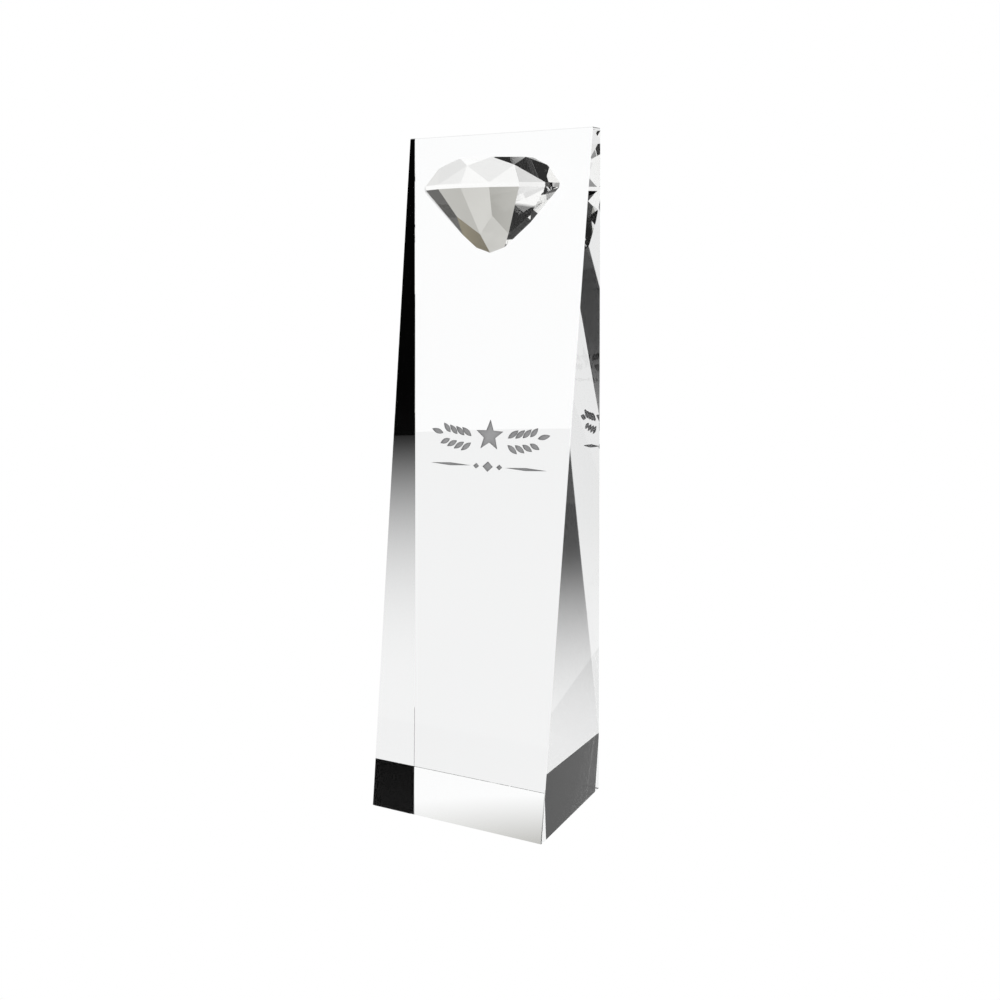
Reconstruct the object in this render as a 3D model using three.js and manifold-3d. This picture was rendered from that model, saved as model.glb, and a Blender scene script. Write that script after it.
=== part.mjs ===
// Crystal award: a clear wedge tower with half of a faceted diamond bonded to its sloping front.
// Millimetres, +Z up, origin in the middle of the rest face, front towards -Y.
import * as THREE from 'three';
import { ConvexGeometry } from 'three/addons/geometries/ConvexGeometry.js';
import { mergeVertices } from 'three/addons/utils/BufferGeometryUtils.js';
import Module from 'manifold-3d';

const wasm = await Module();
wasm.setup();

// Tower
const towerHeight = 203;
const towerWidth = 60;
const baseDepth = 42.5;
const topDepth = 5.4;
const edgeBevel = 0.2; // width of the polished flat along every edge, measured on each face

// Diamond, as the whole round stone that the half is cut from
const mainCount = 8; // main facets round the crown and round the pavilion
const girdleRadius = 21.3; // axis to a corner of the girdle, which has two corners for each main facet
const starRadius = 17.2; // axis to the lower tip of a star facet
const tableRadius = 13.2; // axis to a corner of the table
const crownHeight = 7.2; // upper rim of the girdle to the table
const girdleHeight = 1.2; // flat band between crown and pavilion
const sideTipRadius = 10.7; // axis to the side tips of the pavilion's main facets
const sideTipDepth = 12.4; // lower rim of the girdle to those tips
const pavilionHeight = 22.1; // lower rim of the girdle to the point
const girdleDrop = 15.8; // tower's top to the lower rim of the girdle
const axisInset = 1.7; // how far the stone's axis lies behind the front face, at the girdle

// Adhesive bond between tower and diamond
const filmThickness = 0.2;
const seatGap = 0.1; // clearance on both sides of the film

// Etched ornament on the front face
const emblemLevel = 117; // rest face to the middle of the ornament, measured up the front face
const emblemAcross = 3.7; // front face's middle line to the middle of the ornament
const etchDepth = 0.4;
const emblemStarRadius = 4.7;
const emblemStarWaist = 0.42; // inner corners, as a share of the star's radius
const sprayStart = 6.2; // middle line to the first leaves of a spray
const sprayReach = 20; // middle line to the tip of the last leaf
const sprayRise = 2.8; // how far a spray's tip curves up
const leafPairs = 4;
const leafLength = 4.1;
const leafBreadth = 1.5;
const leafSpread = 0.66; // angle between a leaf and its stem, in radians
const stemBreadth = 0.42;
const rowGap = 9.1; // middle of the star row to the middle of the rule below it
const ruleReach = 19.6; // middle line to the outer end of the rule
const ruleBreadth = 0.9;
const lozengeWidths = [3.4, 1.9, 1.9]; // middle one first, then one on each side of it
const lozengeHeights = [3.0, 1.6, 1.6];
const lozengePitch = 3.9;

const lean = Math.atan2(baseDepth - topDepth, towerHeight);
const quarterTurn = Math.PI / 2;

// Place of the front face: local x across it, y up it, z straight out of it.
const frontFrame = new THREE.Matrix4()
  .makeRotationX(quarterTurn - lean)
  .setPosition(0, -baseDepth / 2, 0);

const frontDepthAt = (z) => -baseDepth / 2 + z * Math.tan(lean);

function toSolid(geometry) {
  const bare = geometry.clone();
  bare.deleteAttribute('normal');
  bare.deleteAttribute('uv');
  const merged = mergeVertices(bare, 1e-4);
  const index = merged.index ? merged.index.array : merged.attributes.position.array.keys();
  return new wasm.Manifold(
    new wasm.Mesh({
      numProp: 3,
      vertProperties: new Float32Array(merged.attributes.position.array),
      triVerts: new Uint32Array(index),
    }),
  );
}

function toGeometry(solid) {
  const { vertProperties, triVerts, numProp } = solid.getMesh();
  const buffer = new THREE.InterleavedBuffer(vertProperties, numProp);
  const geometry = new THREE.BufferGeometry();
  geometry.setAttribute('position', new THREE.InterleavedBufferAttribute(buffer, 3, 0));
  geometry.setIndex(new THREE.BufferAttribute(triVerts, 1));
  const flat = geometry.toNonIndexed();
  flat.computeVertexNormals();
  return flat;
}

// The corners of an outline, each cut back by the same length along both of its sides.
function withCutCorners(corners, cut) {
  return corners.flatMap((corner, i) => {
    const before = corners.at(i - 1);
    const after = corners[(i + 1) % corners.length];
    return [before, after].map((other) =>
      other.clone().sub(corner).setLength(cut).add(corner),
    );
  });
}

function wedgeGeometry() {
  const halfDepth = baseDepth / 2;
  const sideProfile = [
    new THREE.Vector2(-halfDepth, 0),
    new THREE.Vector2(halfDepth, 0),
    new THREE.Vector2(halfDepth, towerHeight),
    new THREE.Vector2(halfDepth - topDepth, towerHeight),
  ];
  const profile = new THREE.Shape(withCutCorners(sideProfile, edgeBevel));
  const width = towerWidth - 2 * edgeBevel;
  const geometry = new THREE.ExtrudeGeometry(profile, {
    depth: width,
    bevelSegments: 1,
    bevelThickness: edgeBevel,
    bevelSize: edgeBevel,
    bevelOffset: -edgeBevel,
  });
  geometry.translate(0, 0, -width / 2);
  // the profile's x runs along Y, its y along Z, and it is drawn out along X
  return geometry.applyMatrix4(
    new THREE.Matrix4().makeBasis(
      new THREE.Vector3(0, 1, 0),
      new THREE.Vector3(0, 0, 1),
      new THREE.Vector3(1, 0, 0),
    ),
  );
}

function starShape(x, y, radius) {
  const tips = 5;
  const points = Array.from({ length: 2 * tips }, (_, i) => {
    const reach = i % 2 ? radius * emblemStarWaist : radius;
    const angle = quarterTurn + (i * Math.PI) / tips;
    return new THREE.Vector2(x + reach * Math.cos(angle), y + reach * Math.sin(angle));
  });
  return new THREE.Shape(points);
}

// A leaf between two bowed edges, from its root at (x, y) to its tip.
function leafShape(x, y, angle, length, breadth) {
  const at = (along, across) => [
    x + along * Math.cos(angle) - across * Math.sin(angle),
    y + along * Math.sin(angle) + across * Math.cos(angle),
  ];
  return new THREE.Shape()
    .moveTo(...at(0, 0))
    .quadraticCurveTo(...at(0.45 * length, -breadth), ...at(length, 0))
    .quadraticCurveTo(...at(0.45 * length, breadth), ...at(0, 0));
}

function lozengeShape(x, y, width, height) {
  const halves = [[width, 0], [0, height], [-width, 0], [0, -height]];
  return new THREE.Shape(halves.map(([w, h]) => new THREE.Vector2(x + w / 2, y + h / 2)));
}

// A spray of paired leaves along a stem that curves up; side is 1 for right and -1 for left.
function sprayShapes(side, y) {
  const reach = sprayReach - sprayStart;
  const stemAt = (share) => ({
    x: sprayStart + reach * share,
    y: y - sprayRise / 2 + sprayRise * share * share,
    angle: Math.atan2(2 * sprayRise * share, reach),
  });
  const turned = (angle) => (side > 0 ? angle : Math.PI - angle);
  const shapes = [];
  const lastRoot = 1 - leafLength / reach;
  for (let i = 0; i < leafPairs; i += 1) {
    const share = (lastRoot * i) / leafPairs;
    const root = stemAt(share);
    for (const up of [1, -1]) {
      const clear = (up * (stemBreadth + leafBreadth)) / 2;
      shapes.push(
        leafShape(
          side * root.x,
          root.y + clear,
          turned(root.angle + up * leafSpread),
          leafLength * (1 - 0.25 * share),
          leafBreadth,
        ),
      );
    }
  }
  const tip = stemAt(lastRoot);
  shapes.push(leafShape(side * tip.x, tip.y, turned(tip.angle), leafLength, leafBreadth));
  return shapes;
}

function ruleShapes(y) {
  const shapes = lozengeWidths.map((width, i) => {
    const side = [0, 1, -1][i];
    return lozengeShape(side * lozengePitch, y, width, lozengeHeights[i]);
  });
  const ruleStart = lozengePitch + lozengeWidths[1];
  const ruleLength = ruleReach - ruleStart;
  for (const side of [1, -1]) {
    const middle = side * (ruleStart + ruleLength / 2);
    shapes.push(lozengeShape(middle, y, ruleLength, ruleBreadth));
  }
  return shapes;
}

// Cutter for the etched recess, in the front face's own frame.
function emblemGeometry() {
  const proud = 1;
  const starRow = emblemLevel + rowGap / 4;
  const shapes = [
    starShape(0, starRow, emblemStarRadius),
    ...sprayShapes(1, starRow),
    ...sprayShapes(-1, starRow),
    ...ruleShapes(starRow - rowGap),
  ];
  return new THREE.ExtrudeGeometry(shapes, {
    depth: etchDepth + proud,
    bevelEnabled: false,
    curveSegments: 5,
  })
    .translate(emblemAcross, 0, -etchDepth)
    .applyMatrix4(frontFrame);
}

// Evenly spaced corners of the stone at one radius and height, in steps of half a main facet.
function stoneRing(radius, height, first, stride) {
  const halfStep = Math.PI / mainCount;
  return Array.from({ length: (2 * mainCount) / stride }, (_, i) => {
    const angle = halfStep * (first + i * stride);
    return new THREE.Vector3(radius * Math.cos(angle), radius * Math.sin(angle), height);
  });
}

// The whole stone, round its upright axis, with its origin at the lower rim of the girdle and a
// ridge between two main facets straight in front. Every facet is flat, so it is a convex hull.
function stoneGeometry() {
  const turn = Math.cos(Math.PI / mainCount);
  // a star facet's lower tip lies in the planes of the main crown facets on both sides of it
  const starHeight =
    (crownHeight * (girdleRadius - starRadius * turn)) / (girdleRadius - tableRadius);
  // a main pavilion facet's upper tip is where its plane meets the ridge below a girdle corner
  const ridgeSlope = sideTipDepth / (girdleRadius - sideTipRadius);
  const mainSlope = (pavilionHeight - sideTipDepth) / (sideTipRadius * turn);
  const topTipRadius =
    (ridgeSlope * girdleRadius - pavilionHeight) / (ridgeSlope - mainSlope);
  const topTipDepth = pavilionHeight - mainSlope * topTipRadius;
  return new ConvexGeometry([
    ...stoneRing(tableRadius, girdleHeight + crownHeight, 1, 2),
    ...stoneRing(starRadius, girdleHeight + starHeight, 0, 2),
    ...stoneRing(girdleRadius, girdleHeight, 0, 1),
    ...stoneRing(girdleRadius, 0, 0, 1),
    ...stoneRing(topTipRadius, -topTipDepth, 1, 2),
    ...stoneRing(sideTipRadius, -sideTipDepth, 0, 2),
    new THREE.Vector3(0, 0, -pavilionHeight),
  ]);
}

const girdleLevel = towerHeight - girdleDrop;
const stoneSeat = new THREE.Vector3(0, frontDepthAt(girdleLevel) + axisInset, girdleLevel);

// The space between two distances out from the front face, seen from the stone's origin.
function spaceInFront(near, far) {
  const side = 3 * (girdleRadius + pavilionHeight + crownHeight);
  const middle = girdleLevel / Math.cos(lean);
  const geometry = new THREE.BoxGeometry(side, side, far - near)
    .translate(0, middle, (near + far) / 2)
    .applyMatrix4(frontFrame)
    .translate(-stoneSeat.x, -stoneSeat.y, -stoneSeat.z);
  return toSolid(geometry);
}

const stone = toSolid(stoneGeometry());
const filmOuter = seatGap + filmThickness;
const wellClear = 2 * girdleRadius;

const towerSolid = toSolid(wedgeGeometry()).subtract(toSolid(emblemGeometry()));
const filmSolid = stone.intersect(spaceInFront(seatGap, filmOuter));
const diamondSolid = stone.intersect(spaceInFront(filmOuter + seatGap, wellClear));

function crystalMaterial(color) {
  return new THREE.MeshStandardMaterial({
    color,
    roughness: 0.02,
    metalness: 0,
    transparent: true,
    opacity: 0.35,
  });
}

const tower = new THREE.Mesh(toGeometry(towerSolid), crystalMaterial(0xf4f6f7));
tower.name = 'crystal_tower';

const diamond = new THREE.Mesh(toGeometry(diamondSolid), crystalMaterial(0xecebe6));
diamond.name = 'half_diamond';

const bondFilm = new THREE.Mesh(
  toGeometry(filmSolid),
  new THREE.MeshStandardMaterial({
    color: 0xf6f5f0,
    roughness: 0.12,
    metalness: 0,
    transparent: true,
    opacity: 0.35,
  }),
);
bondFilm.name = 'bond_film';

const setStone = new THREE.Group();
setStone.position.copy(stoneSeat);
setStone.add(bondFilm, diamond);

const award = new THREE.Group();
award.add(tower, setStone);

export default award;
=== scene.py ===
import math

import bmesh
import bpy
import numpy as np
from mathutils import Matrix, Vector, geometry


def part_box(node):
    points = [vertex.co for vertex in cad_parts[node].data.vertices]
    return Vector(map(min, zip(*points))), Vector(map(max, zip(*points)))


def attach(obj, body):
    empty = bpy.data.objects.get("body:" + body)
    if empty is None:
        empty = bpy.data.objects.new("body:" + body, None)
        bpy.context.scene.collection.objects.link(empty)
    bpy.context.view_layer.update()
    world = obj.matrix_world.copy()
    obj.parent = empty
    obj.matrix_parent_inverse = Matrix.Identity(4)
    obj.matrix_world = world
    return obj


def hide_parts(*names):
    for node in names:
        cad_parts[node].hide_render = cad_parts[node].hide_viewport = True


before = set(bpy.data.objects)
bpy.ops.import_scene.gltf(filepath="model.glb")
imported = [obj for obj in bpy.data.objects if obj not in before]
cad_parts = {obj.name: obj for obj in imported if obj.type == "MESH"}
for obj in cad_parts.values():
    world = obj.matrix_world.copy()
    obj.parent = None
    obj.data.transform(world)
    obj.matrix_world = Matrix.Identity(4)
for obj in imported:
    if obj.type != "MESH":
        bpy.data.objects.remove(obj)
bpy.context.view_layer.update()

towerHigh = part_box("crystal_tower")[1]
scene = bpy.context.scene

# Everything is in metres and radians, with the award's front towards -Y.
weldReach = 1e-7  # points closer than this are one
millimetre = 0.001


# A node's output, with the sums that the materials use written as Python operators.
class Socket:
    def __init__(self, tree, link):
        self.tree = tree
        self.link = link

    def math(self, operation, *others, clamp=False):
        made = self.tree.nodes.new("ShaderNodeMath")
        made.operation = operation
        made.use_clamp = clamp
        for i, value in enumerate([self, *others]):
            fill(self.tree, made.inputs[i], value)
        return Socket(self.tree, made.outputs[0])

    def __add__(self, other):
        return self.math("ADD", other)

    __radd__ = __add__

    def __mul__(self, other):
        return self.math("MULTIPLY", other)

    __rmul__ = __mul__

    def __sub__(self, other):
        return self.math("SUBTRACT", other)

    def __rsub__(self, other):
        return (self - other) * -1


# Links a socket to another, or sets its constant.
def fill(tree, socket, value):
    if isinstance(value, Socket):
        tree.links.new(value.link, socket)
    else:
        socket.default_value = value


# A new material's node tree; add() makes any node from its type, settings and socket values.
class Recipe:
    def __init__(self, name):
        self.material = bpy.data.materials.new(name)
        self.material.use_nodes = True
        self.tree = self.material.node_tree
        self.tree.nodes.clear()

    # values fills inputs by their place; named inputs follow as keywords, with _ for a space.
    def add(self, kind, settings=None, output=0, stops=None, values=(), **sockets):
        node = self.tree.nodes.new(kind)
        for key, value in (settings or {}).items():
            setattr(node, key, value)
        if stops:
            ramp = node.color_ramp
            while len(ramp.elements) < len(stops):
                ramp.elements.new(0.5)
            for element, (place, colour) in zip(ramp.elements, stops):
                element.position = place
                element.color = (*colour, 1)
        for socket, value in zip(node.inputs, values):
            fill(self.tree, socket, value)
        for key, value in sockets.items():
            found = [s for s in node.inputs if s.name == key.replace("_", " ") and s.enabled]
            fill(self.tree, found[0], value)
        return Socket(self.tree, node.outputs[output])

    def finish(self, shader):
        end = self.tree.nodes.new("ShaderNodeOutputMaterial")
        self.tree.links.new(shader.link, end.inputs["Surface"])
        return self.material


glassIndex = 1.517

# The crystals' shared look: pattern scales are per millimetre, depths in metres.
polish = {
    "mirrorShare": 0.15,  # of the direct reflection, as through a polarising filter; bare glass has 1
    "cloudScale": 0.03,
    "grainScale": 0.9,
    "grainShare": 0.15,  # of the haze
    "cleanShare": 0.45,  # of the cloud pattern that stays free of haze
    "tintLift": 1.012,  # how much clearer the melt is at the other end of the cloud pattern
    "lapScale": 0.5,
    "lapStretch": (120, 120, 2500),  # per metre along X, Y and Z: marks run level, close together
    "lapShare": 0.3,
    "rippleDepth": 0.00002,
}


# Object coordinates in millimetres, so that pattern scales read as per millimetre.
def objectPlace(recipe, scale=(1 / millimetre,) * 3):
    place = recipe.add("ShaderNodeTexCoord", output=3)
    return recipe.add("ShaderNodeMapping", Vector=place, Scale=scale)


# Polished optical crystal: clear, with faint lap marks in the polish, a trace of striae in the
# melt, and a touch of haze where hands and cloths have been. Roughness is
# haze (max(cloud - clean share, 0) + grain share * grain).
def makeCrystal(name, look):
    recipe = Recipe(name)
    place = objectPlace(recipe)
    cloud = recipe.add("ShaderNodeTexNoise", Vector=place, Scale=polish["cloudScale"], Detail=3.0)
    fine = recipe.add("ShaderNodeTexNoise", Vector=place, Scale=polish["grainScale"], Detail=2.0)
    streaked = objectPlace(recipe, polish["lapStretch"])
    lap = recipe.add("ShaderNodeTexNoise", Vector=streaked, Scale=polish["lapScale"], Detail=4.0)
    smears = cloud.math("SUBTRACT", polish["cleanShare"], clamp=True) * look["haze"]
    rough = smears + fine * (look["haze"] * polish["grainShare"])
    body = recipe.add(
        "ShaderNodeMix",
        {"data_type": "RGBA"},
        output=2,
        Factor=cloud,
        A=(*look["tint"], 1),
        B=(*[min(1.0, c * polish["tintLift"]) for c in look["tint"]], 1),
    )
    ripple = recipe.add(
        "ShaderNodeBump",
        Strength=look["marks"],
        Distance=polish["rippleDepth"],
        Height=lap * polish["lapShare"] + cloud,
    )
    glass = recipe.add(
        "ShaderNodeBsdfPrincipled",
        Base_Color=body,
        Roughness=rough,
        IOR=glassIndex,
        Transmission_Weight=1.0,
        Specular_Tint=(*[polish["mirrorShare"]] * 3, 1),
        Normal=ripple,
    )
    return recipe.finish(glass)


wetted = {
    "speckScale": 0.6,
    "clear": (0.999, 0.999, 0.998),
    "specked": (0.994, 0.994, 0.990),
}


# A face wetted by the adhesive: its index is the crystal's own, so light crosses it unbent.
def makeBonded(name):
    recipe = Recipe(name)
    place = objectPlace(recipe)
    specks = recipe.add("ShaderNodeTexNoise", Vector=place, Scale=wetted["speckScale"], Detail=3.0)
    body = recipe.add(
        "ShaderNodeMix",
        {"data_type": "RGBA"},
        output=2,
        Factor=specks,
        A=(*wetted["clear"], 1),
        B=(*wetted["specked"], 1),
    )
    clear = recipe.add(
        "ShaderNodeBsdfPrincipled",
        Base_Color=body,
        Roughness=0.0,
        IOR=1.0,
        Transmission_Weight=1.0,
    )
    return recipe.finish(clear)


blast = {
    "grainScale": 6.0,
    "patchScale": 0.25,
    "grainShare": 0.6,  # the rest of the colour's variation comes from the patches
    # dark and pale are painted shade: greys that stand in for the dim studio that the frost scatters
    "dark": (0.25, (0.26, 0.26, 0.265)),
    "pale": (0.75, (0.38, 0.38, 0.385)),
    "grainStrength": 0.5,
    "grainDepth": 0.00005,
    "roughness": 0.55,
    "roughSpread": 0.2,
}


# Blasted floor of the etched ornament: a fine matt frost with uneven grain, its colour led by
# grain share * grain + (1 - grain share) * patch. Its grey is painted shade, darkening the frost as the dim
# studio that it scatters would; the grain and patches are its own uneven tone.
def makeFrost(name):
    recipe = Recipe(name)
    place = objectPlace(recipe)
    grain = recipe.add("ShaderNodeTexNoise", Vector=place, Scale=blast["grainScale"], Detail=4.0)
    patch = recipe.add("ShaderNodeTexNoise", Vector=place, Scale=blast["patchScale"], Detail=2.0)
    # painted shade: the frost's grey stands in for the dim studio that it scatters, with its own grain and
    # patches
    colour = recipe.add(
        "ShaderNodeValToRGB",
        stops=[blast["dark"], blast["pale"]],
        Fac=grain * blast["grainShare"] + patch * (1 - blast["grainShare"]),
    )
    bumps = recipe.add("ShaderNodeBump", Strength=blast["grainStrength"],
                       Distance=blast["grainDepth"], Height=grain)
    frost = recipe.add(
        "ShaderNodeBsdfPrincipled",
        Base_Color=colour,
        Roughness=blast["roughness"] + patch * blast["roughSpread"],
        IOR=glassIndex,
        Normal=bumps,
    )
    return recipe.finish(frost)


# Light cards and flags of the studio: a colour that glows evenly, from a node or a plain value.
def makeGlow(name, colour, strength=1.0, recipe=None):
    recipe = recipe or Recipe(name)
    glow = recipe.add("ShaderNodeEmission", Color=colour, Strength=strength)
    return recipe.finish(glow)


# A flat-shaded mesh object from points and faces, at the origin.
def makePiece(name, points, faces, materials, faceSlots=None):
    mesh = bpy.data.meshes.new(name)
    mesh.from_pydata(np.asarray(points).reshape(-1, 3).tolist(), [], faces)
    for material in materials:
        mesh.materials.append(material)
    if faceSlots is not None:
        mesh.polygons.foreach_set("material_index", np.asarray(faceSlots, dtype=np.int32))
    mesh.polygons.foreach_set("use_smooth", np.zeros(len(mesh.polygons), dtype=bool))
    mesh.validate()
    mesh.update()
    piece = bpy.data.objects.new(name, mesh)
    scene.collection.objects.link(piece)
    return piece


tower = {
    "halfWidth": towerHigh.x,
    "halfDepth": towerHigh.y,
    "height": towerHigh.z,
    "topDepth": 0.0054,
    "edgeBevel": 0.0002,  # ground flat along every edge
    "etchDepth": 0.0004,
    "outlineReach": 1e-9,  # outline points closer than this are one
    "emblemLevel": 0.117,  # up the front face to the middle of the ornament
    "tint": (0.985, 0.989, 0.99),
    "haze": 0.01,
    "marks": 0.05,
}

lean = math.atan2(2 * tower["halfDepth"] - tower["topDepth"], tower["height"])


# A point on the front face's own axes: across it, up it, and straight out of it.
def frontPoints(across, upFace, out):
    y = -tower["halfDepth"] + upFace * math.sin(lean) - out * math.cos(lean)
    z = upFace * math.cos(lean) + out * math.sin(lean)
    return np.stack(np.broadcast_arrays(across, y, z), axis=-1)


# The wedge's eight corners, and at each one a point on each of its three faces, set in by the
# edge bevel along the two edges that bound the face there: corner + bevel (edge + edge).
def wedgeCorners():
    t = tower
    frontTop = t["halfDepth"] - t["topDepth"]
    corners, edges = [], []
    for side in (-1, 1):
        for top in (0, 1):
            for back in (0, 1):
                y = t["halfDepth"] if back else (frontTop if top else -t["halfDepth"])
                corners.append((side * t["halfWidth"], y, top * t["height"]))
                rise = (0, 0, 1) if back else (0, math.sin(lean), math.cos(lean))
                edges.append([(-side, 0, 0), (0, -1 if back else 1, 0),
                              [(-1 if top else 1) * v for v in rise]])
    return np.array(corners), np.array(edges, dtype=float)


# All of the wedge but its front: five faces, a flat bevel on each edge, a triangle at each corner.
# Each polygon whose normal points at the middle is turned round.
def wedgeFaces(points):
    def pointAt(corner, face):
        return corner * 3 + face

    def cornerAt(side, top, back):
        return side * 4 + top * 2 + back

    bits = [(0, 0), (1, 0), (1, 1), (0, 1)]
    polygons = []
    for value in (0, 1):
        polygons.append([pointAt(cornerAt(value, a, b), 0) for a, b in bits])
        polygons.append([pointAt(cornerAt(a, value, b), 2) for a, b in bits])
    polygons.append([pointAt(cornerAt(a, b, 1), 1) for a, b in bits])
    for a, b in ((0, 0), (0, 1), (1, 0), (1, 1)):
        polygons.append([pointAt(cornerAt(0, a, b), 1), pointAt(cornerAt(1, a, b), 1),
                         pointAt(cornerAt(1, a, b), 2), pointAt(cornerAt(0, a, b), 2)])
        polygons.append([pointAt(cornerAt(a, 0, b), 0), pointAt(cornerAt(a, 1, b), 0),
                         pointAt(cornerAt(a, 1, b), 1), pointAt(cornerAt(a, 0, b), 1)])
        polygons.append([pointAt(cornerAt(a, b, 0), 0), pointAt(cornerAt(a, b, 1), 0),
                         pointAt(cornerAt(a, b, 1), 2), pointAt(cornerAt(a, b, 0), 2)])
    for i in range(8):
        polygons.append([pointAt(i, 0), pointAt(i, 1), pointAt(i, 2)])
    middle = points.mean(axis=0)
    faces = []
    for polygon in polygons:
        a, b, c = points[polygon[:3]]
        outward = np.cross(b - a, c - a) @ (points[polygon].mean(axis=0) - middle) > 0
        faces.append(polygon if outward else polygon[::-1])
    return faces, [pointAt(cornerAt(a, b, 0), 1) for a, b in bits]


# The tower: the wedge's faces, and the front face cut along the stone's footprint and along the
# ornament, whose parts stand back by the etch's depth behind upright walls.
def makeTower(crystal, frost, bonded):
    corners, edges = wedgeCorners()
    pairs = [(1, 2), (0, 2), (0, 1)]  # edges that set in a corner's point on its X, Y and Z face
    points = np.stack([corners + tower["edgeBevel"] * (edges[:, a] + edges[:, b]) for a, b in pairs],
                      axis=1).reshape(-1, 3)
    faces, frontFace = wedgeFaces(points)
    slots = [0] * len(faces)

    outer = np.column_stack([points[frontFace][:, 0], points[frontFace][:, 2] / math.cos(lean)])
    footprint = counterClockwise(footprintOutline())
    outlines = [counterClockwise(outer), footprint, *emblemOutlines()]
    flat = np.concatenate(outlines)
    starts = np.cumsum([0] + [len(outline) for outline in outlines])
    loops = [list(range(a, b)) for a, b in zip(starts[:-1], starts[1:])]
    cut = geometry.delaunay_2d_cdt(
        [Vector(p) for p in flat.tolist()], [], loops, 1, tower["outlineReach"])
    cutPoints = np.array([tuple(p) for p in cut[0]])
    base = len(points)
    front = frontPoints(cutPoints[:, 0], cutPoints[:, 1], 0.0)
    floor = frontPoints(cutPoints[:, 0], cutPoints[:, 1], -tower["etchDepth"])
    for triangle, source in zip(cut[2], cut[5]):
        inEmblem = max(source) >= 2
        shift = base + (len(front) if inEmblem else 0)
        faces.append([shift + i for i in triangle])
        slots.append(1 if inEmblem else 2 if 1 in source else 0)
    # the recess's walls, from each outline down to the floor's
    where = {}
    for place, sources in enumerate(cut[3]):
        for source in sources:
            where[source] = place
    for loop in loops[2:]:
        for a, b in zip(loop, loop[1:] + loop[:1]):
            a, b = where[a], where[b]
            faces.append([base + a, base + b, base + len(front) + b, base + len(front) + a])
            slots.append(1)
    # the front face's corners are the bevels' own points
    allPoints = np.concatenate([points, front, floor])
    used = np.zeros(len(allPoints), dtype=bool)
    used[[i for face in faces for i in face]] = True
    remap = np.cumsum(used) - 1
    faces = [[int(remap[i]) for i in face] for face in faces]
    piece = makePiece("tower_block", allPoints[used], faces, [crystal, frost, bonded], slots)
    mergeDoubles(piece)
    return piece


# Welds the points that two faces share.
def mergeDoubles(piece):
    mesh = bmesh.new()
    mesh.from_mesh(piece.data)
    bmesh.ops.remove_doubles(mesh, verts=mesh.verts, dist=weldReach)
    openEdges = [e for e in mesh.edges if len(e.link_faces) != 2]
    print(piece.name, "faces", len(mesh.faces), "open edges", len(openEdges))
    mesh.to_mesh(piece.data)
    mesh.free()


emblem = {
    "across": 0.0037,  # front face's middle line to the ornament's
    "starRadius": 0.0047,
    "starWaist": 0.42,  # inner corners, as a share of the radius
    "sprayStart": 0.0062,
    "sprayReach": 0.020,
    "sprayRise": 0.0028,
    "leafPairs": 4,
    "leafLength": 0.0041,
    "leafBreadth": 0.0015,
    "leafSpread": 0.66,
    "stemBreadth": 0.00042,
    "rowGap": 0.0091,
    "ruleReach": 0.0196,
    "ruleBreadth": 0.0009,
    "lozengeWidths": (0.0034, 0.0019, 0.0019),  # middle one, then one on each side
    "lozengeHeights": (0.0030, 0.0016, 0.0016),
    "lozengePitch": 0.0039,
    "leafSteps": 8,
    "leafShoulder": 0.45,  # how far along a leaf its curve's control stands, as a share
    "leafTaper": 0.25,  # how much shorter the outermost leaf is, as a share
    "rowLift": 0.25,  # star row above the ornament's level, as a share of the gap
}


# Ten corners round a middle, 36 degrees apart and every second one drawn in:
# middle + reach (cos angle, sin angle).
def starOutline(x, y):
    index = np.arange(10)
    reach = np.where(index % 2 == 1, emblem["starWaist"], 1.0) * emblem["starRadius"]
    angle = math.pi / 2 + index * math.pi / 5
    return np.column_stack([x + reach * np.cos(angle), y + reach * np.sin(angle)])


# Two bowed edges, each a quadratic curve from root to tip whose middle control stands aside.
def leafOutline(x, y, angle, length, breadth):
    t = np.arange(emblem["leafSteps"]) / emblem["leafSteps"]
    back = 1 - t
    shoulder = 2 * t * back * emblem["leafShoulder"] * length
    bow = 2 * t * back * breadth
    alongs = np.concatenate([shoulder + t * t * length, shoulder + back * back * length])
    acrosses = np.concatenate([-bow, bow])
    return np.column_stack([
        x + alongs * math.cos(angle) - acrosses * math.sin(angle),
        y + alongs * math.sin(angle) + acrosses * math.cos(angle),
    ])


# Four corners, half a width or half a height from the middle.
def lozengeOutline(x, y, width, height):
    return np.array([(x + width / 2, y), (x, y + height / 2), (x - width / 2, y), (x, y - height / 2)])


# Leaves in pairs along a stem that rises with the square of the way along it, and one at its tip.
def sprayOutlines(side, y):
    e = emblem
    reach = e["sprayReach"] - e["sprayStart"]

    def stemAt(share):
        rise = e["sprayRise"]
        place = (e["sprayStart"] + reach * share, y - rise / 2 + rise * share * share)
        return (*place, math.atan2(2 * rise * share, reach))

    def turned(angle):
        return angle if side > 0 else math.pi - angle

    outlines = []
    lastRoot = 1 - e["leafLength"] / reach
    for i in range(e["leafPairs"]):
        share = lastRoot * i / e["leafPairs"]
        rootX, rootY, rootAngle = stemAt(share)
        for up in (1, -1):
            clear = up * (e["stemBreadth"] + e["leafBreadth"]) / 2
            outlines.append(leafOutline(
                side * rootX, rootY + clear, turned(rootAngle + up * e["leafSpread"]),
                e["leafLength"] * (1 - e["leafTaper"] * share), e["leafBreadth"]))
    tipX, tipY, tipAngle = stemAt(lastRoot)
    outlines.append(leafOutline(side * tipX, tipY, turned(tipAngle), e["leafLength"], e["leafBreadth"]))
    return outlines


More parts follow.
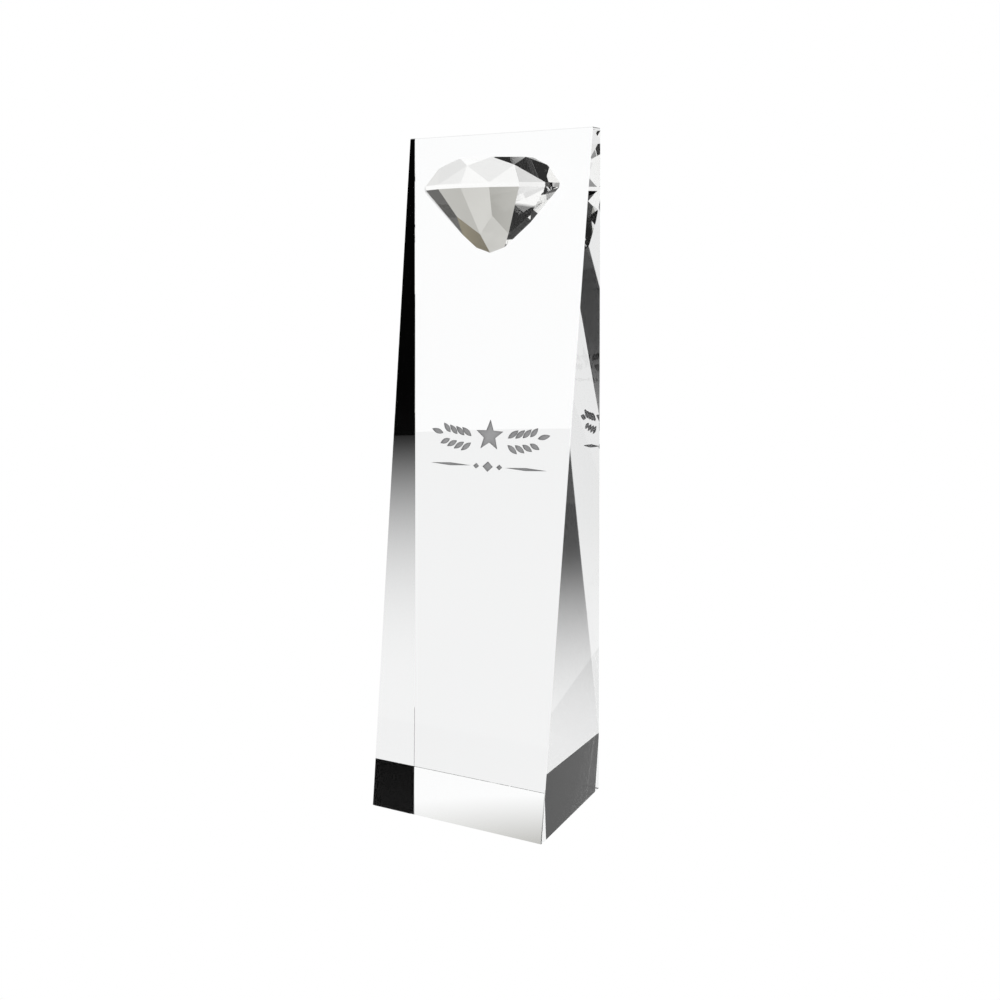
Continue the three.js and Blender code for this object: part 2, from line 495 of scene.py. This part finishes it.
# All outlines on the front face's own axes: star and sprays above, lozenges and rules below.
def emblemOutlines():
    e = emblem
    starRow = tower["emblemLevel"] + e["rowGap"] * e["rowLift"]
    ruleRow = starRow - e["rowGap"]
    outlines = [starOutline(0, starRow), *sprayOutlines(1, starRow), *sprayOutlines(-1, starRow)]
    for side, width, height in zip((0, 1, -1), e["lozengeWidths"], e["lozengeHeights"]):
        outlines.append(lozengeOutline(side * e["lozengePitch"], ruleRow, width, height))
    ruleStart = e["lozengePitch"] + e["lozengeWidths"][1]
    ruleLength = e["ruleReach"] - ruleStart
    for side in (1, -1):
        middle = side * (ruleStart + ruleLength / 2)
        outlines.append(lozengeOutline(middle, ruleRow, ruleLength, e["ruleBreadth"]))
    shift = np.array([e["across"], 0])
    return [counterClockwise(outline) + shift for outline in outlines]


# Turned round if its signed area, half the sum of x y' - x' y over its sides, is negative.
def counterClockwise(outline):
    x, y = outline.T
    area = (x * np.roll(y, -1) - np.roll(x, -1) * y).sum()
    return outline if area > 0 else outline[::-1]


stone = {
    "mainCount": 8,
    "girdleRadius": 0.0213,
    "starRadius": 0.0172,
    "tableRadius": 0.0132,
    "crownHeight": 0.0072,
    "girdleHeight": 0.0012,
    "sideTipRadius": 0.0107,
    "sideTipDepth": 0.0124,
    "pavilionHeight": 0.0221,
    "girdleDrop": 0.0158,  # tower's top to the girdle's lower rim
    "axisInset": 0.0017,  # axis behind the front face
    "flatStand": 0.0004,  # front face to the ground flat
    "edgeRound": 0.0001,  # how far polishing has worn the edges between facets
    "edgeSteps": 2,
    "blockSide": 0.09,  # the block it is cut from
    "slabReach": 0.06,  # past the stone's furthest point out from the front face
    "probeDepth": 0.001,  # thin slice whose inner side is the footprint
    "squareCosine": 0.9999,  # a face is square to the front face beyond this
    "cutReach": 1e-5,  # in millimetres, how near a cut a point counts as on it
    "tint": (0.978, 0.976, 0.968),
    "haze": 0.008,
    "marks": 0.04,
}

girdleLevel = tower["height"] - stone["girdleDrop"]


# A facet's plane through two points of a meridian, (radius, height) each, turned to an angle.
# Its outward normal is the meridian step turned a quarter, and its offset is normal . point.
def facetPlanes(angles, lower, upper):
    step = np.subtract(upper, lower)
    normal = np.array([step[1], -step[0]]) / np.hypot(*step)
    offset = normal @ np.array(lower)
    across = np.stack([np.cos(angles), np.sin(angles)], axis=-1) * normal[0]
    normals = np.column_stack([across, np.full(len(angles), normal[1])])
    return normals, np.full(len(angles), offset)


# All the planes of the round stone about its own origin, the axis at the girdle's lower rim.
def stonePlanes():
    s = stone
    half = math.pi / s["mainCount"]
    turn, smallTurn = math.cos(half), math.cos(half / 2)
    rim, table = s["girdleHeight"], s["girdleHeight"] + s["crownHeight"]
    starHeight = (
        s["crownHeight"] * (s["girdleRadius"] - s["starRadius"] * turn)
        / (s["girdleRadius"] - s["tableRadius"])
    )
    mains = half * (2 * np.arange(s["mainCount"]) + 1)
    stars = half * 2 * np.arange(s["mainCount"])
    breaks = half * (np.arange(2 * s["mainCount"]) + 0.5)
    edge = s["girdleRadius"] * smallTurn
    star = (s["starRadius"] * smallTurn, rim + starHeight)
    tip = (s["sideTipRadius"] * smallTurn, -s["sideTipDepth"])
    groups = [
        facetPlanes(mains, (s["girdleRadius"], rim), (s["tableRadius"], table)),
        facetPlanes(stars, (s["starRadius"], rim + starHeight), (s["tableRadius"] * turn, table)),
        facetPlanes(breaks, (edge, rim), star),
        facetPlanes(breaks, (edge, 0.0), (edge, rim)),
        facetPlanes(breaks, tip, (edge, 0.0)),
        facetPlanes(mains, (0.0, -s["pavilionHeight"]),
                    (s["sideTipRadius"] * turn, -s["sideTipDepth"])),
        (np.array([[0.0, 0.0, 1.0]]), np.array([table])),
    ]
    seat = np.array([0, -tower["halfDepth"] + girdleLevel * math.tan(lean) + s["axisInset"],
                     girdleLevel])
    normals = np.concatenate([g[0] for g in groups])
    offsets = np.concatenate([g[1] for g in groups]) + normals @ seat
    return normals, offsets


# A solid cut from a block by planes, one after another: each cut drops what lies beyond
# normal . point = offset and caps the opening with one flat facet. Returned in millimetres.
def cutSolid(normals, offsets):
    solid = bmesh.new()
    side = stone["blockSide"] / millimetre
    block = Matrix.Translation(Vector((0, 0, girdleLevel / millimetre))) @ Matrix.Diagonal((*[side] * 3, 1))
    bmesh.ops.create_cube(solid, size=1.0, matrix=block)
    for normal, offset in zip(normals, offsets):
        everything = solid.verts[:] + solid.edges[:] + solid.faces[:]
        cut = bmesh.ops.bisect_plane(
            solid, geom=everything, dist=stone["cutReach"],
            plane_co=(normal * offset / millimetre).tolist(), plane_no=normal.tolist(), clear_outer=True)
        rim = [item for item in cut["geom_cut"] if isinstance(item, bmesh.types.BMEdge)]
        if len(rim) > 2:
            bmesh.ops.contextual_create(solid, geom=rim)
    bmesh.ops.recalc_face_normals(solid, faces=solid.faces[:])
    return solid


# The stone between two distances out from the front face.
def stoneSlice(near, far):
    normals, offsets = stonePlanes()
    outward = np.array([0, -math.cos(lean), math.sin(lean)])
    face = outward @ np.array([0, -tower["halfDepth"], 0])
    slabs = np.array([-outward, outward])
    return cutSolid(np.concatenate([normals, slabs]), np.append(offsets, [-(face + near), face + far]))


# The faces of a slice that lie square to the front face, as its bonded sides.
def bondedSides(solid):
    outward = Vector((0, -math.cos(lean), math.sin(lean)))
    return [face for face in solid.faces if abs(face.normal.dot(outward)) > stone["squareCosine"]]


# The outline that the stone's surface would draw on the front face itself.
def footprintOutline():
    solid = stoneSlice(0.0, stone["probeDepth"])
    outward = Vector((0, -math.cos(lean), math.sin(lean)))
    side = min(bondedSides(solid), key=lambda face: face.calc_center_median().dot(outward))
    corners = np.array([tuple(vert.co) for vert in side.verts]) * millimetre
    solid.free()
    return np.column_stack([corners[:, 0], corners[:, 2] / math.cos(lean)])


# A cut solid as a piece in metres, with its bonded sides in the second material.
def finishSolid(solid, name, materials):
    for face in bondedSides(solid):
        face.material_index = 1
    bmesh.ops.scale(solid, vec=(millimetre,) * 3, verts=solid.verts[:])
    mesh = bpy.data.meshes.new(name)
    solid.to_mesh(mesh)
    solid.free()
    for material in materials:
        mesh.materials.append(material)
    piece = bpy.data.objects.new(name, mesh)
    scene.collection.objects.link(piece)
    return piece


# Half of the stone: every edge but those of its ground flat is worn a little round.
def makeStone(crystal, bonded):
    solid = stoneSlice(stone["flatStand"], stone["slabReach"])
    flatEdges = {edge for face in bondedSides(solid) for edge in face.edges}
    worn = [edge for edge in solid.edges if edge not in flatEdges]
    bmesh.ops.bevel(
        solid, geom=worn, offset=stone["edgeRound"] / millimetre, segments=stone["edgeSteps"],
        profile=0.5, affect="EDGES", clamp_overlap=True)
    return finishSolid(solid, "faceted_stone", [crystal, bonded])


film = {
    "near": 0.00001,  # front face to the film's two sides
    "far": 0.00039,
    "tint": (0.98, 0.98, 0.97),
    "haze": 0.1,
    "marks": 0.3,
}


# The cured film between the two crystals, its rim following the stone's facets.
def makeFilm(crystal, bonded):
    return finishSolid(stoneSlice(film["near"], film["far"]), "adhesive_film", [crystal, bonded])


view = {
    "place": (0.1742, -0.30995, 0.1725),
    "turn": math.radians(28.42),  # to the left of straight ahead
    "dip": math.radians(15.23),
    "roll": math.radians(-1.14),
    "lens": 43.34,
    "shiftUp": 0.07,
    "sensor": 36,
    "nearest": 0.01,
}


# Looks ahead = (-sin turn cos dip, cos turn cos dip, -sin dip), rolled about that line.
def makeCamera():
    turn, dip, roll = view["turn"], view["dip"], view["roll"]
    ahead = Vector((-math.sin(turn) * math.cos(dip), math.cos(turn) * math.cos(dip), -math.sin(dip)))
    right = Vector((math.cos(turn), math.sin(turn), 0))
    above = right.cross(ahead)
    rightTurned = math.cos(roll) * right + math.sin(roll) * above
    aboveTurned = math.cos(roll) * above - math.sin(roll) * right
    camera = bpy.data.objects.new("camera", bpy.data.cameras.new("camera"))
    scene.collection.objects.link(camera)
    camera.data.lens = view["lens"]
    camera.data.sensor_width = view["sensor"]
    camera.data.shift_y = view["shiftUp"]
    camera.data.clip_start = view["nearest"]
    axes = Matrix((rightTurned, aboveTurned, -ahead)).transposed().to_4x4()
    camera.matrix_world = Matrix.Translation(Vector(view["place"])) @ axes
    scene.camera = camera


stage = {
    "floorRadius": 3.0,
    "floorLevel": -0.0002,
    "tableRadius": 0.47,
    "tableLevel": -0.0005,
    "poolMiddle": (0.012, 0.022),
    "tableWhite": 0.91,
    "poolInner": 0.04,
    "poolOuter": (0.34, 0.44),  # towards the front left, and towards the back right
    "poolBearing": math.radians(35),
    "openBearing": math.radians(-58),  # where the lit table runs out to the backdrop
    "openEdges": (0.30, 0.65),  # cosines from that bearing: no light, all light
    "cycRadius": 0.48,
    "cycHeight": 0.80,
    "cardTop": 0.53,  # the backdrop's own top edge, black above it
    "cardTopBlur": 0.003,
    "whiteTop": (0.30, 0.35),  # the white's upper edge, fading between the two heights
    "whiteDrop": 0.035,  # how much lower that edge is at the left
    "slitFoot": (0.422, 0.4245),  # lower edge of the white slit at the left
    "flagRadius": 0.43,
    "flagHeight": 0.46,
    "flagShade": (0.18, 0.26),  # heights between which a flag's glow goes from low to high
    "ceilingGlow": 0.02,
    "bounces": 32,  # light turns back many times inside the crystal
}

# Each flag's two bearings in degrees, from +Y towards +X, and its glow low down and higher up.
flags = {
    "dark_flag": (14, 52, 0.001, 0.002),
    "grey_flag": (190, 230, 0.03, 0.02),
    "camera_flag": (122, 174, 0.02, 0.03),
}

# The backdrop: bearings in degrees where its parts begin and end, and the colours between them.
white, black = (1.0, 1.0, 1.0), (0.015, 0.015, 0.015)
backdrop = {
    "slitLeft": (-82, -80),  # a white slit in the black, fading in and out between each pair
    "slitRight": (-63, -62),
    "leftPart": (-61.5, -60),  # the white stands higher to the right of this
    "upper": [
        (-120, white), (-112, black), (-63, black), (-62, white), (-61.5, white),
        (-60, (0.38, 0.375, 0.35)), (-52, (0.43, 0.425, 0.40)),
        (-46, (0.60, 0.595, 0.57)), (-38, (0.66, 0.655, 0.63)),
        (-30, (0.54, 0.535, 0.51)), (-23, (0.47, 0.465, 0.44)),
        (-21, (0.23, 0.20, 0.13)), (-14, (0.03, 0.028, 0.022)),
        (50, black), (60, white),
    ],
}


# Only some rays meet a stage piece: the camera's own, or those that the crystal bends.
def setRays(piece, camera, crystal):
    piece.visible_camera = camera
    piece.visible_diffuse = False
    piece.visible_glossy = crystal
    piece.visible_transmission = crystal
    piece.visible_shadow = False


# A flat disc: its rim is radius (cos, sin) of even steps round a circle.
def makeDisc(name, radius, level, material, columns=96):
    angles = np.arange(columns) * 2 * math.pi / columns
    rim = np.column_stack([radius * np.cos(angles), radius * np.sin(angles), np.full(columns, level)])
    return makePiece(name, rim, [list(range(columns))], [material])


# An upright card bent round the award: part of a cylinder between two bearings.
def makeCard(name, radius, height, bearings, material, columns=64):
    bearing = np.linspace(bearings[0], bearings[1], columns)
    foot = np.column_stack([radius * np.sin(bearing), radius * np.cos(bearing),
                            np.full(columns, stage["tableLevel"])])
    points = np.concatenate([foot, foot + np.array([0, 0, height])])
    first = np.arange(columns - 1)
    faces = np.column_stack([first, first + 1, first + 1 + columns, first + columns])
    return makePiece(name, points, faces.tolist(), [material])


# A pool of light on the table that fades outward, further at the back right than at the front
# left, and runs on without fading through the opening to the backdrop.
def tableGlow():
    recipe = Recipe("lit_table")
    place = recipe.add("ShaderNodeTexCoord", output=3)
    off = recipe.add("ShaderNodeVectorMath", {"operation": "SUBTRACT"},
                     values=(place, (*stage["poolMiddle"], 0)))
    length = recipe.add("ShaderNodeVectorMath", {"operation": "LENGTH"}, output=1, values=(off,))
    unit = recipe.add("ShaderNodeVectorMath", {"operation": "NORMALIZE"}, values=(place,))

    def toward(bearing):
        aim = (math.sin(bearing), math.cos(bearing), 0)
        return recipe.add("ShaderNodeVectorMath", {"operation": "DOT_PRODUCT"}, output=1,
                          values=(unit, aim))

    near, far = stage["poolOuter"]
    outer = toward(stage["poolBearing"]) * ((far - near) / 2) + (far + near) / 2
    smooth = {"interpolation_type": "SMOOTHSTEP"}
    pool = recipe.add("ShaderNodeMapRange", smooth, Value=length, From_Min=stage["poolInner"],
                      From_Max=outer, To_Min=stage["tableWhite"], To_Max=0.0)
    opening = recipe.add("ShaderNodeMapRange", smooth, Value=toward(stage["openBearing"]),
                         From_Min=stage["openEdges"][0], From_Max=stage["openEdges"][1])
    glow = pool.math("MAXIMUM", opening * stage["tableWhite"])
    return makeGlow("lit_table", (1, 1, 1, 1), glow, recipe)


# White low down; higher up it is warm grey behind the award and black towards both sides, but
# for a white slit at the left, and black all round above the card's own top edge. Between two
# bearings a colour goes over to the next in a straight line.
def cycGlow():
    recipe = Recipe("lit_backdrop")
    place = recipe.add("ShaderNodeTexCoord", output=3)
    x, y, height = [recipe.add("ShaderNodeSeparateXYZ", output=i, Vector=place) for i in range(3)]
    bearing = x.math("ARCTAN2", y) * (1 / (2 * math.pi)) + 0.5
    upper = recipe.add("ShaderNodeValToRGB", Fac=bearing,
                       stops=[(at(degrees), colour) for degrees, colour in backdrop["upper"]])

    def rise(value, low, high):
        return recipe.add("ShaderNodeMapRange", Value=value, From_Min=low, From_Max=high)

    def turnedPast(edge):
        return rise(bearing, *[at(degrees) for degrees in backdrop[edge]])

    slit = rise(height, *stage["slitFoot"]) * turnedPast("slitLeft") * (1 - turnedPast("slitRight"))
    upper = recipe.add("ShaderNodeMix", {"data_type": "RGBA"}, output=2, Factor=slit,
                       A=upper, B=(*white, 1))
    drop = (1 - turnedPast("leftPart")) * stage["whiteDrop"]
    blend = rise(height + drop, *stage["whiteTop"])
    lower = recipe.add("ShaderNodeMix", {"data_type": "RGBA"}, output=2, Factor=blend,
                       A=(*white, 1), B=upper)
    over = rise(height, stage["cardTop"], stage["cardTop"] + stage["cardTopBlur"])
    colour = recipe.add("ShaderNodeMix", {"data_type": "RGBA"}, output=2, Factor=over,
                        A=lower, B=(*black, 1))
    return makeGlow("lit_backdrop", colour, 1.0, recipe)


# A bearing in degrees, from +Y towards +X, as its place from 0 to 1 round the backdrop.
def at(degrees):
    return degrees / 360 + 0.5


# A flag's faint glow, from one strength low down to another higher up.
def flagGlow(name, low, high):
    recipe = Recipe(name)
    place = recipe.add("ShaderNodeTexCoord", output=3)
    height = recipe.add("ShaderNodeSeparateXYZ", output=2, Vector=place)
    shade = recipe.add("ShaderNodeMapRange", Value=height, From_Min=stage["flagShade"][0],
                       From_Max=stage["flagShade"][1], To_Min=low, To_Max=high)
    return makeGlow(name, (1, 1, 1, 1), shade, recipe)


# A pale floor that only the camera sees, and cards, discs and flags that only the crystal sees.
def makeStage():
    floor = makeDisc("pale_floor", stage["floorRadius"], stage["floorLevel"],
                     makeGlow("pale_floor", (1, 1, 1, 1)))
    setRays(floor, True, False)
    table = makeDisc("lit_table", stage["tableRadius"], stage["tableLevel"], tableGlow())
    setRays(table, False, True)
    cyc = makeCard("backdrop", stage["cycRadius"], stage["cycHeight"], (0, 2 * math.pi), cycGlow(), 128)
    setRays(cyc, False, True)
    for name, (first, last, low, high) in flags.items():
        flag = makeCard(name, stage["flagRadius"], stage["flagHeight"],
                        (math.radians(first), math.radians(last)), flagGlow(name, low, high))
        setRays(flag, False, True)
    ceiling = makeDisc("ceiling", stage["cycRadius"], stage["cycHeight"],
                       makeGlow("dark_ceiling", (*[stage["ceilingGlow"]] * 3, 1)))
    setRays(ceiling, False, True)
    world = bpy.data.worlds.new("white_room")
    scene.world = world
    world.use_nodes = True
    world.node_tree.nodes["Background"].inputs["Color"].default_value = (1, 1, 1, 1)


makeCamera()
print("camera set")

towerCrystal = makeCrystal("polished_crystal", tower)
stoneCrystal = makeCrystal("facet_crystal", stone)
cured = makeCrystal("cured_adhesive", film)
bondedFace = makeBonded("wetted_face")
frost = makeFrost("blasted_frost_painted_shade")
print("materials made")

towerPiece = makeTower(towerCrystal, frost, bondedFace)
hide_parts("crystal_tower")
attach(towerPiece, "root")
print("tower made")

stonePiece = makeStone(stoneCrystal, bondedFace)
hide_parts("half_diamond")
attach(stonePiece, "root")
print("stone made", len(stonePiece.data.polygons))

filmPiece = makeFilm(cured, bondedFace)
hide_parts("bond_film")
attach(filmPiece, "root")
print("film made")

makeStage()
scene.view_settings.view_transform = "Standard"
scene.cycles.max_bounces = stage["bounces"]
scene.cycles.glossy_bounces = stage["bounces"]
scene.cycles.transmission_bounces = stage["bounces"]
print("stage set")
